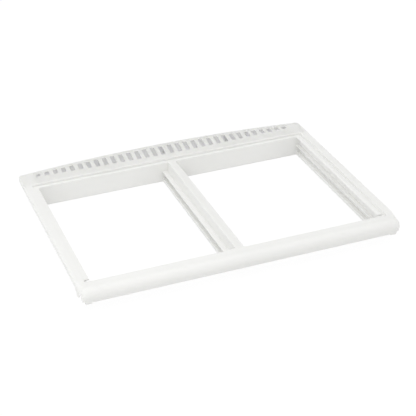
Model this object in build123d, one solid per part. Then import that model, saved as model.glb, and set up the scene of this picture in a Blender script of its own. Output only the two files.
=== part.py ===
from build123d import *
import os

os.makedirs("parts", exist_ok=True)

# Crisper drawer cover: a one-piece moulded frame with two openings.
# Lengths in millimetres. X runs across the cover, Y from the front to the back, Z up.
# The origin is the middle of the footprint, on the surface that the cover rests on.

# Overall sizes
overall_width = 638.0
overall_depth = 487.0
rim_height = 49.0
wall = 2.5
outer_edge_radius = 2.2

# Front rail
front_rail_width = 40.5
front_rail_height = 27.0
nose_radius = 14.0
fascia_draft = 17.0
front_corner_radius = 12.0
corner_blend_start = 17.0
corner_blend_length = 24.0
front_lip_width = 4.5
end_wall_height = 24.0
end_wall_length = 29.0
end_wall_slope = 10.0
relief_width = 18.0
relief_height = 17.0
relief_tip = 0.8

# Side rails
side_rail_width = 29.0
skirt_height = 11.0

# Bed for the pane
bed_drop = 5.0
bed_side_rim = 17.0
bed_front_rim = 28.0
bed_corner_radius = 6.0
opening_corner_radius = 6.0
opening_edge_radius = 1.5

# Back rail and its arched hump
back_rail_width = 59.5
back_ledge_width = 7.5
back_corner_radius = 10.0
back_skirt_height = 18.0
hump_rise = 11.0
hump_reach = 306.0

# Vent slots
slot_pitch = 17.9
slot_width = 9.5
slot_corner_cut = 1.4
slot_middle_length = 28.5
slot_end_length = 9.5
slot_back_margin = 11.5
middle_bar_extra = 2.0
vent_side_margin = 28.0

# Divider and drawer runners
divider_width = 16.5
divider_flare = 2.5
divider_reach = 10.35
side_reach = 8.0
ledge_drop = 25.5
lip_height = 7.5
runner_lead = 7.0
lead_ramp_length = 8.0
lead_notch_length = 6.5
lead_notch_depth = 5.5

# Stiffening ribs on the underside
rib_thickness = 2.0
ribs_per_slots = 8
front_rib_rise = 3.0

# Feet under the front corners
foot_width = 12.0
foot_depth = 9.0
foot_drop = 3.0
foot_inset = 9.0

# Levels and places that follow from the sizes
half_width = overall_width / 2
front_y = -overall_depth / 2
back_y = overall_depth / 2
top_z = rim_height
bed_z = top_z - bed_drop
deck_z = bed_z - wall
front_z = top_z - front_rail_height
end_z = top_z - end_wall_height
skirt_z = top_z - skirt_height
back_skirt_z = top_z - back_skirt_height
ledge_z = top_z - ledge_drop
opening_front_y = front_y + front_rail_width
opening_back_y = back_y - back_rail_width
opening_side_x = half_width - side_rail_width
bed_side_x = half_width - bed_side_rim
bed_front_y = front_y + bed_front_rim
bed_back_y = opening_back_y + back_ledge_width
runner_front_y = opening_front_y - runner_lead
web_x = opening_side_x + side_reach
web_outer_x = web_x + wall
hump_length = back_y - bed_back_y
hump_section_radius = (hump_length**2 + hump_rise**2) / (2 * hump_rise)
hump_radius = (hump_reach**2 + hump_rise**2) / (2 * hump_rise)
nose_y = front_y + nose_radius
nose_z = top_z - nose_radius
blend_front_y = front_y + corner_blend_start
blend_back_y = blend_front_y + corner_blend_length
below = -rim_height
above = top_z + 2 * hump_rise


def block(x_from, x_to, y_from, y_to, z_from, z_to):
    corner = Location((x_from, y_from, z_from))
    size = (x_to - x_from, y_to - y_from, z_to - z_from)
    return corner * Box(*size, align=(Align.MIN, Align.MIN, Align.MIN))


def upright(face, z_from, z_to):
    return extrude(Location((0, 0, z_from)) * face, z_to - z_from, dir=(0, 0, 1))


def plan_outline(inset):
    width = overall_width - 2 * inset
    depth = overall_depth - 2 * inset
    face = Rectangle(width, depth)
    return fillet([v for v in face.vertices() if v.Y > 0], back_corner_radius - inset)


def bed_plan(grow):
    width = 2 * (bed_side_x + grow)
    length = bed_back_y - bed_front_y + 2 * grow
    middle = (bed_back_y + bed_front_y) / 2
    return Location((0, middle)) * RectangleRounded(width, length, bed_corner_radius + grow)


def front_outline(inset, floor_z):
    # The rounded nose and the fascia that leans back below it, drawn from the side.
    nose = CenterArc((nose_y, nose_z), nose_radius - inset, 90, 90 + fascia_draft)
    heading = nose % 1
    foot = nose @ 1 + heading * ((floor_z - (nose @ 1).Y) / heading.Y)
    return nose, Line(nose @ 1, foot)


def front_form(inset):
    # Everything behind the front outline and below the top.
    nose, fascia = front_outline(inset, 0)
    rest = Polyline(fascia @ 1, (back_y, 0), (back_y, top_z - inset), nose @ 0)
    face = Plane.YZ * make_face([nose, fascia, rest])
    return extrude(face, half_width, dir=(1, 0, 0), both=True)


def rail_section(place_y, radius):
    # Cross section of the whole cover with its two upper corners rounded.
    face = Location((0, top_z / 2)) * Rectangle(overall_width, top_z)
    face = fillet([v for v in face.vertices() if v.Y > top_z / 2], radius)
    return Plane((0, place_y, 0), x_dir=(1, 0, 0), z_dir=(0, -1, 0)) * face


def round_front_corners(solid, inset):
    # Rounds the ends of the front rail: along the top, over the nose and down the fascia.
    side_x = half_width - inset
    edges = []
    for edge in solid.edges():
        middle = edge.center()
        steepness = abs(edge.tangent_at(0.5).Z)
        on_nose = edge.geom_type == GeomType.CIRCLE
        on_fascia = 0.5 < steepness < 0.999
        on_top = middle.Z > top_z - inset - 1e-3
        if abs(abs(middle.X) - side_x) < 1e-3 and (on_nose or on_fascia or on_top):
            edges.append(edge)
    return fillet(edges, front_corner_radius - inset)


def hump(inset):
    # A crowned hump: its section is an arc that is level at the back edge, turned about a far axis.
    axis_z = top_z + hump_rise - hump_radius
    crown_z = top_z + hump_rise - inset
    radius = hump_section_radius - inset
    back = back_y - inset
    drop = (radius**2 - hump_length**2) ** 0.5
    start = (0, back_y - hump_length, crown_z - radius + drop)
    quarter = (radius**2 - (hump_length / 2) ** 2) ** 0.5
    middle = (0, back_y - hump_length / 2, crown_z - radius + quarter)
    end_drop = (radius**2 - inset**2) ** 0.5
    end = (0, back, crown_z - radius + end_drop)
    foot_z = top_z - 2 * hump_rise
    arc = ThreePointArc(start, middle, end)
    rest = Polyline(end, (0, back, foot_z), (0, back_y - hump_length, foot_z), start)
    face = make_face([arc, rest])
    if inset == 0:
        crest = face.vertices().sort_by(lambda v: v.Y + v.Z)[-1]
        face = fillet(crest, outer_edge_radius)
    axis = Axis((0, 0, axis_z), (0, 1, 0))
    half_turn = revolve(face, axis, 6)
    band = half_turn + mirror(half_turn, about=Plane.YZ)
    return band & block(-hump_reach, hump_reach, bed_back_y, back_y, top_z - wall, above)


# Outer block: the front rail is deeper than the skirts of the other sides
lower_y = (front_outline(0, front_z)[1] @ 1).X
side_points = [
    (0, front_y, front_z),
    (0, lower_y + front_lip_width, front_z),
    (0, lower_y + front_lip_width, end_z),
    (0, lower_y + end_wall_length, end_z),
    (0, lower_y + end_wall_length + end_wall_slope, skirt_z),
    (0, back_y, skirt_z),
    (0, back_y, top_z),
    (0, front_y, top_z),
]
side_form = extrude(make_face(Polyline(*side_points, close=True)), half_width, dir=(1, 0, 0), both=True)
outer = side_form & front_form(0) & upright(plan_outline(0), 0, top_z)

# Its front corners are well rounded; the rounding runs out along the side rails to a soft edge
front_part = outer & block(-half_width, half_width, front_y, blend_front_y, 0, top_z)
front_part = round_front_corners(front_part, 0)
sections = [rail_section(blend_front_y, front_corner_radius), rail_section(blend_back_y, outer_edge_radius)]
blend_part = loft(sections, ruled=True) & side_form
back_part = outer & block(-half_width, half_width, blend_back_y, back_y, 0, top_z)
top_edges = [e for e in back_part.edges() if e.center().Z > top_z - 1e-3]
back_part = fillet([e for e in top_edges if e.center().Y > blend_back_y + 1e-3], outer_edge_radius)
cover = front_part + blend_part + back_part

# Hump of the back rail, and the hollow of the rims and of the hump, open below
cover += hump(0)
hollow = front_form(wall) & upright(plan_outline(wall), 0, top_z - wall)
front_hollow = hollow & block(-half_width, half_width, front_y, blend_back_y, 0, top_z)
back_hollow = hollow & block(-half_width, half_width, blend_back_y, back_y, 0, top_z)
bed_pillar = upright(bed_plan(wall), below, top_z)
cover -= round_front_corners(front_hollow, wall) - bed_pillar
cover -= back_hollow - bed_pillar
hump_hollow = hump(wall) & block(-half_width, half_width, bed_back_y + wall, back_y - wall, below, above)
cover -= hump_hollow

# Recess for the pane, open below
cover -= upright(bed_plan(wall), below, deck_z)
cover -= upright(bed_plan(0), deck_z, top_z)


def is_opening_edge(edge):
    middle = edge.center()
    on_bed = abs(middle.Z - bed_z) < 1e-3
    between_rails = opening_front_y - 1e-3 < middle.Y < opening_back_y + 1e-3
    return on_bed and between_rails and abs(middle.X) < opening_side_x + 1e-3


# Bed in the recess, with two openings whose upper edges are rounded
opening_width = opening_side_x - divider_width / 2
opening_length = opening_back_y - opening_front_y
opening_x = (opening_side_x + divider_width / 2) / 2
opening_y = (opening_back_y + opening_front_y) / 2
bed = upright(bed_plan(wall / 2), deck_z, bed_z)
for side in (-1, 1):
    opening = RectangleRounded(opening_width, opening_length, opening_corner_radius)
    bed -= upright(Location((side * opening_x, opening_y)) * opening, deck_z, bed_z)
cover += fillet([e for e in bed.edges() if is_opening_edge(e)], opening_edge_radius)

# Rear wall of the front rail, and the back wall
inner_x = half_width - wall
cover += block(-inner_x, inner_x, opening_front_y - wall, opening_front_y, front_z, deck_z)
cover += block(-web_outer_x, web_outer_x, opening_back_y, opening_back_y + wall, 0, deck_z)

# Runner of a side rail, drawn from the front
side_section = [
    (web_outer_x, deck_z),
    (web_outer_x, lip_height - wall),
    (opening_side_x + wall, lip_height - wall),
    (opening_side_x + wall, 0),
    (opening_side_x, 0),
    (opening_side_x, lip_height),
    (web_x, lip_height),
    (web_x, ledge_z - wall),
    (opening_side_x, ledge_z - wall),
    (opening_side_x, ledge_z),
    (web_x, ledge_z),
    (web_x, deck_z),
]

# One leg of the divider with its runner
divider_x = divider_width / 2
flare_x = divider_x + divider_flare
runner_x = flare_x + divider_reach
divider_section = [
    (divider_x, deck_z),
    (flare_x, ledge_z),
    (runner_x, ledge_z),
    (runner_x, ledge_z - wall),
    (flare_x, ledge_z - wall),
    (flare_x, lip_height),
    (runner_x, lip_height),
    (runner_x, 0),
    (runner_x - wall, 0),
    (runner_x - wall, lip_height - wall),
    (flare_x - wall, lip_height - wall),
    (flare_x - wall, ledge_z),
    (divider_x - wall, deck_z),
]

# Runners from under the front rail to the back wall
runner_length = opening_back_y + wall - runner_front_y
for section in (side_section, divider_section):
    points = [(x, runner_front_y, z) for x, z in section]
    runner = extrude(make_face(Polyline(*points, close=True)), runner_length, dir=(0, 1, 0))
    cover += runner
    cover += mirror(runner, about=Plane.YZ)

# Lead-in ramps at the front ends of the lips
ramp_points = [
    (0, runner_front_y, 0),
    (0, runner_front_y, lip_height - wall),
    (0, runner_front_y + lead_ramp_length, 0),
]
ramp_face = make_face(Polyline(*ramp_points, close=True))
cover -= extrude(ramp_face, half_width, dir=(1, 0, 0), both=True)

# Vent slots, shorter towards the ends, with their back ends in line
slots_per_side = int((half_width - vent_side_margin) / slot_pitch)
first_slot_x = (slot_pitch + middle_bar_extra) / 2
last_slot_x = first_slot_x + (slots_per_side - 1) * slot_pitch
slots = Sketch()
for index in range(slots_per_side):
    slot_x = first_slot_x + index * slot_pitch
    taper = 1 - (slot_x / last_slot_x) ** 2
    length = slot_end_length + (slot_middle_length - slot_end_length) * taper
    slot_y = back_y - slot_back_margin - length / 2
    slot = chamfer(Rectangle(slot_width, length).vertices(), slot_corner_cut)
    slots += Location((slot_x, slot_y)) * slot
    slots += Location((-slot_x, slot_y)) * slot
cover -= upright(slots, top_z - 2 * wall, above)

# Deeper skirt behind the vents, and ribs under the bars between the slots
ribs_per_side = slots_per_side // ribs_per_slots
rib_pitch = ribs_per_slots * slot_pitch
rib_xs = [0.0]
for step in range(1, ribs_per_side + 1):
    rib_x = step * rib_pitch + middle_bar_extra / 2
    rib_xs += [-rib_x, rib_x]
skirt_reach = max(rib_xs) + rib_thickness / 2
cover += block(-skirt_reach, skirt_reach, back_y - wall, back_y, back_skirt_z, skirt_z + wall)
rib_limit = hump(wall / 2) + block(-half_width, half_width, bed_back_y, back_y, below, top_z - wall / 2)
front_limit = front_form(wall / 2)
for rib_x in rib_xs:
    x_from = rib_x - rib_thickness / 2
    x_to = rib_x + rib_thickness / 2
    low_rib = block(x_from, x_to, opening_back_y + wall / 2, bed_back_y + wall, back_skirt_z, deck_z)
    high_rib = block(x_from, x_to, bed_back_y + wall / 2, back_y - wall / 2, back_skirt_z, above)
    cover += low_rib + (high_rib & rib_limit)

# Ribs across the hollow of the front rail
front_rib_z = front_z + front_rib_rise
for rib_x in rib_xs:
    x_from = rib_x - rib_thickness / 2
    x_to = rib_x + rib_thickness / 2
    high_rib = block(x_from, x_to, front_y, bed_front_y - wall / 2, front_rib_z, top_z - wall / 2)
    low_rib = block(x_from, x_to, bed_front_y - wall, opening_front_y - wall / 2, front_rib_z, deck_z)
    cover += (high_rib + low_rib) & front_limit

# Front corners: the lower edge steps up beside a foot, and the end wall has a tapered relief
relief_y = lower_y + wall
relief_points = [
    (0, relief_y, end_z),
    (0, relief_y + relief_width, end_z),
    (0, relief_y + relief_tip, end_z + relief_height),
    (0, relief_y, end_z + relief_height),
]
relief_face = make_face(Polyline(*relief_points, close=True))
for side in (-1, 1):
    corner_xs = sorted((side * (half_width - foot_inset), side * half_width))
    cover -= block(corner_xs[0], corner_xs[1], front_y, lower_y + front_lip_width, front_z, end_z)
    relief_start = Location((side * (half_width - 2 * wall), 0, 0))
    cover -= extrude(relief_start * relief_face, 2 * wall, dir=(side, 0, 0))
    foot_x = side * (half_width - foot_inset - foot_width / 2)
    foot_y = lower_y + wall / 2
    cover += block(
        foot_x - foot_width / 2,
        foot_x + foot_width / 2,
        foot_y,
        foot_y + foot_depth,
        front_z - foot_drop,
        end_z,
    )
    notch_xs = sorted((side * (opening_side_x - opening_corner_radius), side * web_outer_x))
    cover -= block(
        notch_xs[0],
        notch_xs[1],
        opening_front_y,
        opening_front_y + lead_notch_length,
        deck_z - lead_notch_depth,
        bed_z,
    )

export_step(cover, "parts/cover_frame.step")
print("cover frame", cover.is_valid, len(cover.solids()), round(cover.volume / 1000, 1), "cm3")
box = cover.bounding_box()
print("box", box.min, box.max)
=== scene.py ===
# %% [markdown]
# A crisper drawer cover
#
# The cover is the white frame that closes the top of the two crisper drawers in a refrigerator.
# It is one injection moulding: rails, divider, drawer runners and vents are one piece of plastic.
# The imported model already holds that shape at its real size, so this lesson never moves or
# reshapes it. It gives the moulding its finish, sets it on a pale studio floor, lights it softly
# and puts a camera where the photographer stood.

# %% Load the fixed frame
import math

import bpy
from mathutils import Matrix, Vector

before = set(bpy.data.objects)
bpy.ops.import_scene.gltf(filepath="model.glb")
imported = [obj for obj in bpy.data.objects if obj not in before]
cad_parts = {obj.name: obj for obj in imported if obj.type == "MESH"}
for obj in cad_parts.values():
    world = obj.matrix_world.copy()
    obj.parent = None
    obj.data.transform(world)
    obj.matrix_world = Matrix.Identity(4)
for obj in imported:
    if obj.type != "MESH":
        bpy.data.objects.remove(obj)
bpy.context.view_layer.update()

print("nodes", sorted(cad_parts))

# %% [markdown]
# Smooth curves on a faceted mesh
#
# The frame arrives as loose triangles, so every facet of the rounded nose and of the crowned
# back rail would catch the light by itself. A real moulding is smooth there and crisp only at
# its true corners. Sculpting or remeshing would change its size. Three light modifiers do not:
# Weld joins the triangles, Edge Split opens them again where the surface really turns a corner,
# and Weighted Normal keeps the large flat faces flat beside the small rounded ones.

# %% Smooth the moulding
WELD_DISTANCE = 1e-5
CORNER_ANGLE = math.radians(28)

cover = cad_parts["cover_frame"]
bpy.ops.object.select_all(action="DESELECT")
cover.select_set(True)
bpy.context.view_layer.objects.active = cover
bpy.ops.object.shade_smooth()

weld = cover.modifiers.new("Join triangles", "WELD")
weld.merge_threshold = WELD_DISTANCE
split = cover.modifiers.new("Crisp corners", "EDGE_SPLIT")
split.split_angle = CORNER_ANGLE
even = cover.modifiers.new("Flat faces", "WEIGHTED_NORMAL")
even.keep_sharp = True
print("smoothed", cover.name, "with", [m.name for m in cover.modifiers])

# %% [markdown]
# Satin white plastic
#
# Such covers are moulded in white polystyrene or ABS. Seen closely the finish is not one colour.
# Faces that pull straight out of the mould carry a fine spark-eroded grain, while the steep
# walls stay smoother so that the part can slide out. The melt leaves broad, faint clouds where
# it cooled at different speeds. White plastic is milky too: light soaks into a thin wall and
# comes out on its other side. The vented back rail is a thin shell in bright light, so the insides
# of its slots are pale grey and not black, while the heavier rails in front let less through.
# All of it is read from Object coordinates, so it stays with the part when the camera moves. The
# grain and the clouds are node groups: each puts out plain values, and the material decides what
# to do with them.

# %% Small helpers for shader trees
def add_node(tree, kind, place, **settings):
    node = tree.nodes.new(kind)
    node.location = place
    for name, value in settings.items():
        setattr(node, name, value)
    return node


def new_group(name, inputs, outputs):
    group = bpy.data.node_groups.new(name, "ShaderNodeTree")
    for label, kind in inputs:
        group.interface.new_socket(label, in_out="INPUT", socket_type=kind)
    for label, kind in outputs:
        group.interface.new_socket(label, in_out="OUTPUT", socket_type=kind)
    start = add_node(group, "NodeGroupInput", (-800, 0))
    end = add_node(group, "NodeGroupOutput", (600, 0))
    return group, start, end


# %% The spark grain of the mould
GRAIN_DETAIL = 3.0
GRAIN_ROUGHNESS = 0.62
PIT_SMOOTHNESS = 0.6
PIT_SHARE = 0.45
FLECK_FROM = 0.35
FLECK_TO = 0.65


def make_spark_grain():
    group, start, end = new_group(
        "Spark grain",
        [("Vector", "NodeSocketVector"), ("Scale", "NodeSocketFloat")],
        [("Height", "NodeSocketFloat"), ("Fleck", "NodeSocketFloat")],
    )
    coarse = add_node(group, "ShaderNodeTexNoise", (-550, 150))
    coarse.inputs["Detail"].default_value = GRAIN_DETAIL
    coarse.inputs["Roughness"].default_value = GRAIN_ROUGHNESS
    pits = add_node(group, "ShaderNodeTexVoronoi", (-550, -150), feature="SMOOTH_F1")
    pits.inputs["Smoothness"].default_value = PIT_SMOOTHNESS
    for texture in (coarse, pits):
        group.links.new(start.outputs["Vector"], texture.inputs["Vector"])
        group.links.new(start.outputs["Scale"], texture.inputs["Scale"])
    height = add_node(group, "ShaderNodeMath", (-250, 50), operation="MULTIPLY_ADD")
    height.inputs[1].default_value = PIT_SHARE
    group.links.new(pits.outputs["Distance"], height.inputs[0])
    group.links.new(coarse.outputs["Fac"], height.inputs[2])
    fleck = add_node(group, "ShaderNodeMapRange", (-250, -200))
    fleck.inputs["From Min"].default_value = FLECK_FROM
    fleck.inputs["From Max"].default_value = FLECK_TO
    group.links.new(coarse.outputs["Fac"], fleck.inputs["Value"])
    group.links.new(height.outputs["Value"], end.inputs["Height"])
    group.links.new(fleck.outputs["Result"], end.inputs["Fleck"])
    return group


spark_grain = make_spark_grain()
print("group", spark_grain.name)

# %% The clouds that the melt leaves
FLOW_STRETCH = (0.6, 1.0, 2.2)
CLOUD_SCALE = 9.0
CLOUD_DETAIL = 4.0
CLOUD_DISTORTION = 0.6
CLOUD_FROM = 0.3
CLOUD_TO = 0.7
SWELL_SCALE = 26.0
SWELL_DETAIL = 1.0


def make_melt_clouds():
    group, start, end = new_group(
        "Melt clouds",
        [("Vector", "NodeSocketVector")],
        [("Tone", "NodeSocketFloat"), ("Swell", "NodeSocketFloat")],
    )
    along = add_node(group, "ShaderNodeMapping", (-600, 0))
    along.inputs["Scale"].default_value = FLOW_STRETCH
    cloud = add_node(group, "ShaderNodeTexNoise", (-380, 150))
    cloud.inputs["Scale"].default_value = CLOUD_SCALE
    cloud.inputs["Detail"].default_value = CLOUD_DETAIL
    cloud.inputs["Distortion"].default_value = CLOUD_DISTORTION
    swell = add_node(group, "ShaderNodeTexNoise", (-380, -150))
    swell.inputs["Scale"].default_value = SWELL_SCALE
    swell.inputs["Detail"].default_value = SWELL_DETAIL
    group.links.new(start.outputs["Vector"], along.inputs["Vector"])
    for texture in (cloud, swell):
        group.links.new(along.outputs["Vector"], texture.inputs["Vector"])
    tone = add_node(group, "ShaderNodeMapRange", (-120, 150))
    tone.inputs["From Min"].default_value = CLOUD_FROM
    tone.inputs["From Max"].default_value = CLOUD_TO
    group.links.new(cloud.outputs["Fac"], tone.inputs["Value"])
    group.links.new(tone.outputs["Result"], end.inputs["Tone"])
    group.links.new(swell.outputs["Fac"], end.inputs["Swell"])
    return group


melt_clouds = make_melt_clouds()
print("group", melt_clouds.name)

# %% The finish of the moulding
WHITE_LIGHT = (0.885, 0.885, 0.870, 1.0)
WHITE_CLOUD = (0.868, 0.868, 0.850, 1.0)
PLASTIC_IOR = 1.49
GRAIN_SCALE = 1500.0
GRAIN_HEIGHT = 0.00003
GRAIN_STRENGTH = 0.6
SWELL_HEIGHT = 0.00025
SWELL_STRENGTH = 0.5
# Faces whose normal points this far up count as steep at the first value and level at the second.
STEEP_UP_TO = 0.25
LEVEL_FROM = 0.85
# Roughness of level faces and of steep ones, and what a fleck of grain adds.
SATIN = 0.46
POLISHED = 0.34
FLECK_ROUGHNESS = 0.05
# The share of light that soaks in, on the back rail and on the rest. Between the two lengths along
# Y, in metres, one passes into the other.
RAIL_MILKINESS = 1.0
BODY_MILKINESS = 0.22
THIN_FROM = 0.185
THIN_TO = 0.197
SCATTER_DEPTH = 0.013
SCATTER_SPREAD = (1.0, 0.98, 1.1)


def make_satin_plastic():
    material = bpy.data.materials.new("satin_white_plastic")
    material.use_nodes = True
    tree = material.node_tree
    tree.nodes.clear()
    out = add_node(tree, "ShaderNodeOutputMaterial", (900, 0))
    shader = add_node(tree, "ShaderNodeBsdfPrincipled", (600, 0))
    shader.inputs["IOR"].default_value = PLASTIC_IOR
    shader.inputs["Subsurface Radius"].default_value = SCATTER_SPREAD
    shader.inputs["Subsurface Scale"].default_value = SCATTER_DEPTH
    tree.links.new(shader.outputs["BSDF"], out.inputs["Surface"])

    place = add_node(tree, "ShaderNodeTexCoord", (-1100, 0))
    grain = add_node(tree, "ShaderNodeGroup", (-850, 200), node_tree=spark_grain)
    grain.inputs["Scale"].default_value = GRAIN_SCALE
    clouds = add_node(tree, "ShaderNodeGroup", (-850, -100), node_tree=melt_clouds)
    tree.links.new(place.outputs["Object"], grain.inputs["Vector"])
    tree.links.new(place.outputs["Object"], clouds.inputs["Vector"])

    colour = add_node(tree, "ShaderNodeMix", (-250, 300), data_type="RGBA")
    colour.inputs["A"].default_value = WHITE_LIGHT
    colour.inputs["B"].default_value = WHITE_CLOUD
    tree.links.new(clouds.outputs["Tone"], colour.inputs["Factor"])
    tree.links.new(colour.outputs["Result"], shader.inputs["Base Color"])

    facing = add_node(tree, "ShaderNodeSeparateXYZ", (-850, -400))
    tree.links.new(place.outputs["Normal"], facing.inputs["Vector"])
    level = add_node(tree, "ShaderNodeMapRange", (-600, -400))
    level.inputs["From Min"].default_value = STEEP_UP_TO
    level.inputs["From Max"].default_value = LEVEL_FROM
    tree.links.new(facing.outputs["Z"], level.inputs["Value"])

    along = add_node(tree, "ShaderNodeSeparateXYZ", (-850, -650))
    tree.links.new(place.outputs["Object"], along.inputs["Vector"])
    milk = add_node(tree, "ShaderNodeMapRange", (-600, -650))
    milk.inputs["From Min"].default_value = THIN_FROM
    milk.inputs["From Max"].default_value = THIN_TO
    milk.inputs["To Min"].default_value = BODY_MILKINESS
    milk.inputs["To Max"].default_value = RAIL_MILKINESS
    tree.links.new(along.outputs["Y"], milk.inputs["Value"])
    tree.links.new(milk.outputs["Result"], shader.inputs["Subsurface Weight"])

    gloss = add_node(tree, "ShaderNodeMapRange", (-250, -50))
    gloss.inputs["To Min"].default_value = POLISHED
    gloss.inputs["To Max"].default_value = SATIN
    tree.links.new(level.outputs["Result"], gloss.inputs["Value"])
    speck = add_node(tree, "ShaderNodeMath", (50, -50), operation="MULTIPLY_ADD")
    speck.inputs[1].default_value = FLECK_ROUGHNESS
    tree.links.new(grain.outputs["Fleck"], speck.inputs[0])
    tree.links.new(gloss.outputs["Result"], speck.inputs[2])
    tree.links.new(speck.outputs["Value"], shader.inputs["Roughness"])

    swell = add_node(tree, "ShaderNodeBump", (50, -300))
    swell.inputs["Strength"].default_value = SWELL_STRENGTH
    swell.inputs["Distance"].default_value = SWELL_HEIGHT
    tree.links.new(clouds.outputs["Swell"], swell.inputs["Height"])
    relief = add_node(tree, "ShaderNodeMath", (50, -520), operation="MULTIPLY")
    tree.links.new(grain.outputs["Height"], relief.inputs[0])
    tree.links.new(level.outputs["Result"], relief.inputs[1])
    texture = add_node(tree, "ShaderNodeBump", (300, -350))
    texture.inputs["Strength"].default_value = GRAIN_STRENGTH
    texture.inputs["Distance"].default_value = GRAIN_HEIGHT
    tree.links.new(relief.outputs["Value"], texture.inputs["Height"])
    tree.links.new(swell.outputs["Normal"], texture.inputs["Normal"])
    tree.links.new(texture.outputs["Normal"], shader.inputs["Normal"])
    return material


satin_plastic = make_satin_plastic()
cover.data.materials.clear()
cover.data.materials.append(satin_plastic)
print("finish", satin_plastic.name, "with", len(satin_plastic.node_tree.nodes), "nodes")

# %% [markdown]
# A pale studio floor
#
# The photograph was taken on seamless white. A sweep of paper does that in a studio: the floor
# runs level under the part and curls up behind it. The paper is a plane whose far edge is
# extruded upwards and rounded with a bevel. To the lamps it is ordinary matt paper, so it throws
# light back under the rails and takes the shadow of the part. To the camera it also glows a
# little, which lifts it to white as an overexposed backdrop does, without any more light on the
# part. Seen from below it is clear, so that the underside can be looked at too.

# %% Build the paper sweep
FLOOR_HALF = 4.0
SWEEP_HEIGHT = 4.0
SWEEP_RADIUS = 1.6
SWEEP_SEGMENTS = 16
FLOOR_DROP = 0.0002
EDGE_MARGIN = 0.01


def make_paper_sweep():
    bpy.ops.object.select_all(action="DESELECT")
    bpy.ops.mesh.primitive_plane_add(size=2 * FLOOR_HALF, location=(0, 0, -FLOOR_DROP))
    sweep = bpy.context.active_object
    sweep.name = "paper_sweep"
    bpy.ops.object.mode_set(mode="EDIT")
    bpy.ops.mesh.select_all(action="DESELECT")
    bpy.ops.object.mode_set(mode="OBJECT")
    for edge in sweep.data.edges:
        ends = [sweep.data.vertices[i].co.y for i in edge.vertices]
        edge.select = min(ends) > FLOOR_HALF - EDGE_MARGIN
    bpy.ops.object.mode_set(mode="EDIT")
    bpy.ops.mesh.select_mode(type="EDGE")
    bpy.ops.mesh.extrude_region_move(TRANSFORM_OT_translate={"value": (0, 0, SWEEP_HEIGHT)})
    bpy.ops.mesh.select_all(action="DESELECT")
    bpy.ops.object.mode_set(mode="OBJECT")
    for edge in sweep.data.edges:
        ends = [sweep.data.vertices[i].co for i in edge.vertices]
        edge.select = all(p.y > FLOOR_HALF - EDGE_MARGIN and p.z < EDGE_MARGIN for p in ends)
    bpy.ops.object.mode_set(mode="EDIT")
    bpy.ops.mesh.bevel(offset=SWEEP_RADIUS, segments=SWEEP_SEGMENTS, affect="EDGES")
    bpy.ops.mesh.select_all(action="SELECT")
    bpy.ops.mesh.normals_make_consistent(inside=True)
    bpy.ops.object.mode_set(mode="OBJECT")
    bpy.ops.object.shade_smooth()
    bpy.ops.object.transform_apply(location=True, rotation=True, scale=True)
    return sweep


paper_sweep = make_paper_sweep()
print("sweep", len(paper_sweep.data.polygons), "faces")

# %% The paper of the sweep
PAPER_WHITE = (0.86, 0.86, 0.855, 1.0)
SHADOW_SHARE = 0.08
PAPER_GLOW = 0.955


def make_sweep_paper():
    material = bpy.data.materials.new("sweep_paper")
    material.use_nodes = True
    tree = material.node_tree
    tree.nodes.clear()
    out = add_node(tree, "ShaderNodeOutputMaterial", (900, 0))
    path = add_node(tree, "ShaderNodeLightPath", (-700, 400))
    seen = add_node(tree, "ShaderNodeMath", (-450, 400), operation="MAXIMUM")
    tree.links.new(path.outputs["Is Camera Ray"], seen.inputs[0])
    tree.links.new(path.outputs["Is Glossy Ray"], seen.inputs[1])
    seen_through = add_node(tree, "ShaderNodeMath", (-250, 400), operation="MAXIMUM")
    tree.links.new(seen.outputs["Value"], seen_through.inputs[0])
    tree.links.new(path.outputs["Is Transmission Ray"], seen_through.inputs[1])

    paper = add_node(tree, "ShaderNodeBsdfDiffuse", (-250, 100))
    paper.inputs["Color"].default_value = PAPER_WHITE
    faint = add_node(tree, "ShaderNodeBsdfDiffuse", (-250, -50))
    shade = [SHADOW_SHARE * channel for channel in PAPER_WHITE[:3]]
    faint.inputs["Color"].default_value = (*shade, 1.0)
    glow = add_node(tree, "ShaderNodeEmission", (-250, -200))
    glow.inputs["Strength"].default_value = PAPER_GLOW
    lifted = add_node(tree, "ShaderNodeAddShader", (50, -100))
    tree.links.new(faint.outputs["BSDF"], lifted.inputs[0])
    tree.links.new(glow.outputs["Emission"], lifted.inputs[1])
    front = add_node(tree, "ShaderNodeMixShader", (300, 100))
    tree.links.new(seen_through.outputs["Value"], front.inputs["Fac"])
    tree.links.new(paper.outputs["BSDF"], front.inputs[1])
    tree.links.new(lifted.outputs["Shader"], front.inputs[2])

    side = add_node(tree, "ShaderNodeNewGeometry", (300, 400))
    clear = add_node(tree, "ShaderNodeBsdfTransparent", (300, -150))
    both = add_node(tree, "ShaderNodeMixShader", (600, 0))
    tree.links.new(side.outputs["Backfacing"], both.inputs["Fac"])
    tree.links.new(front.outputs["Shader"], both.inputs[1])
    tree.links.new(clear.outputs["BSDF"], both.inputs[2])
    tree.links.new(both.outputs["Shader"], out.inputs["Surface"])
    return material


sweep_paper = make_sweep_paper()
paper_sweep.data.materials.append(sweep_paper)
print("paper", sweep_paper.name)

# %% [markdown]
# Soft studio light
#
# A white part on white paper lives from small differences in tone. Hard light would burn out the
# tops and blacken the runners, so almost all of the light is soft. The room itself gives a broad
# fill that is a little stronger overhead than at the horizon, a large softbox hangs over the
# front left corner, and the paper throws a good part of it back from below. The world is plain
# white to the camera.

# %% Light the room
ROOM_OVERHEAD = 0.95
ROOM_HORIZON = 0.91
PLAIN_WHITE = (1.0, 1.0, 1.0, 1.0)
SEEN_STRENGTH = 1.0


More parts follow.
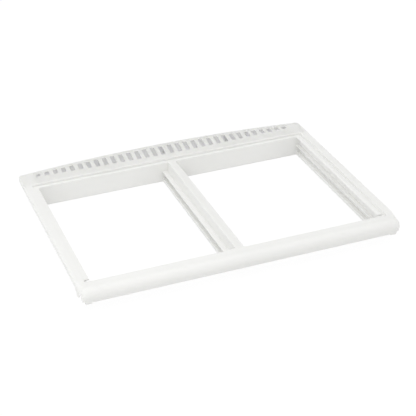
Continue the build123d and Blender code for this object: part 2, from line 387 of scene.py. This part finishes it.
def make_room():
    world = bpy.data.worlds.new("studio_room")
    world.use_nodes = True
    tree = world.node_tree
    tree.nodes.clear()
    out = add_node(tree, "ShaderNodeOutputWorld", (600, 0))
    path = add_node(tree, "ShaderNodeLightPath", (-500, 300))
    seen = add_node(tree, "ShaderNodeMath", (-250, 300), operation="MAXIMUM")
    tree.links.new(path.outputs["Is Camera Ray"], seen.inputs[0])
    tree.links.new(path.outputs["Is Transmission Ray"], seen.inputs[1])
    fill = add_node(tree, "ShaderNodeBackground", (-250, 100))
    fill.inputs["Color"].default_value = PLAIN_WHITE
    look = add_node(tree, "ShaderNodeTexCoord", (-1100, 0))
    height = add_node(tree, "ShaderNodeSeparateXYZ", (-850, 0))
    tree.links.new(look.outputs["Generated"], height.inputs["Vector"])
    climb = add_node(tree, "ShaderNodeMapRange", (-600, 0))
    climb.inputs["To Min"].default_value = ROOM_HORIZON
    climb.inputs["To Max"].default_value = ROOM_OVERHEAD
    tree.links.new(height.outputs["Z"], climb.inputs["Value"])
    tree.links.new(climb.outputs["Result"], fill.inputs["Strength"])
    white = add_node(tree, "ShaderNodeBackground", (-250, -100))
    white.inputs["Color"].default_value = PLAIN_WHITE
    white.inputs["Strength"].default_value = SEEN_STRENGTH
    mix = add_node(tree, "ShaderNodeMixShader", (200, 0))
    tree.links.new(seen.outputs["Value"], mix.inputs["Fac"])
    tree.links.new(fill.outputs["Background"], mix.inputs[1])
    tree.links.new(white.outputs["Background"], mix.inputs[2])
    tree.links.new(mix.outputs["Shader"], out.inputs["Surface"])
    return world


bpy.context.scene.world = make_room()
print("room fill", ROOM_HORIZON, "to", ROOM_OVERHEAD)


# %% Hang the softbox
def hang_softbox(name, place, aim, width, depth, power):
    bpy.ops.object.select_all(action="DESELECT")
    bpy.ops.object.light_add(type="AREA", location=place)
    lamp = bpy.context.active_object
    lamp.name = name
    lamp.data.shape = "RECTANGLE"
    lamp.data.size = width
    lamp.data.size_y = depth
    lamp.data.energy = power
    lamp.rotation_mode = "QUATERNION"
    lamp.rotation_quaternion = (Vector(aim) - Vector(place)).to_track_quat("-Z", "Y")
    return lamp


KEY_PLACE = (-0.7, -0.5, 1.3)
KEY_AIM = (-0.15, -0.10, 0.0)
KEY_SIZE = 1.0
KEY_POWER = 4.2

key = hang_softbox("key_softbox", KEY_PLACE, KEY_AIM, KEY_SIZE, KEY_SIZE, KEY_POWER)
print("lamp", key.name, "at", [round(v, 2) for v in key.location])

# %% [markdown]
# The camera
#
# The view was worked out from the straight edges of the cover in the photograph: the camera
# stands about two metres away, in front and to the left, and looks down at 29 degrees. A long
# lens keeps the rails nearly parallel. Its roll is under two degrees, so the camera is given its
# three axes directly instead of being aimed with a constraint.

# %% Place the camera
CAMERA_PLACE = Vector((-0.7212, -2.0439, 1.2346))
CAMERA_RIGHT = Vector((0.93472, -0.35410, -0.03015))
CAMERA_UP = Vector((0.19756, 0.44723, 0.87233))
LENS = 106.93
SENSOR = 36.0
FAR_CLIP = 50.0
# A shift found by fitting the picture, in pixels over the picture's width.
PICTURE_WIDTH = 416
SHIFT_RIGHT = -0.65 / PICTURE_WIDTH
SHIFT_UP = 0.36 / PICTURE_WIDTH

bpy.ops.object.select_all(action="DESELECT")
bpy.ops.object.camera_add(location=CAMERA_PLACE)
camera = bpy.context.active_object
camera.name = "studio_camera"
camera.data.lens = LENS
camera.data.sensor_width = SENSOR
camera.data.shift_x = SHIFT_RIGHT
camera.data.shift_y = SHIFT_UP
camera.data.clip_end = FAR_CLIP
back = CAMERA_RIGHT.cross(CAMERA_UP).normalized()
up = back.cross(CAMERA_RIGHT).normalized()
axes = Matrix((CAMERA_RIGHT.normalized(), up, back)).transposed()
camera.rotation_mode = "QUATERNION"
camera.rotation_quaternion = axes.to_quaternion()
bpy.context.scene.camera = camera
print("camera", [round(v, 3) for v in camera.location], "lens", LENS)

# %% [markdown]
# Showing the colours
#
# The colours are shown as they are written, with the Standard view.

# %% Finish
bpy.context.scene.view_settings.view_transform = "Standard"
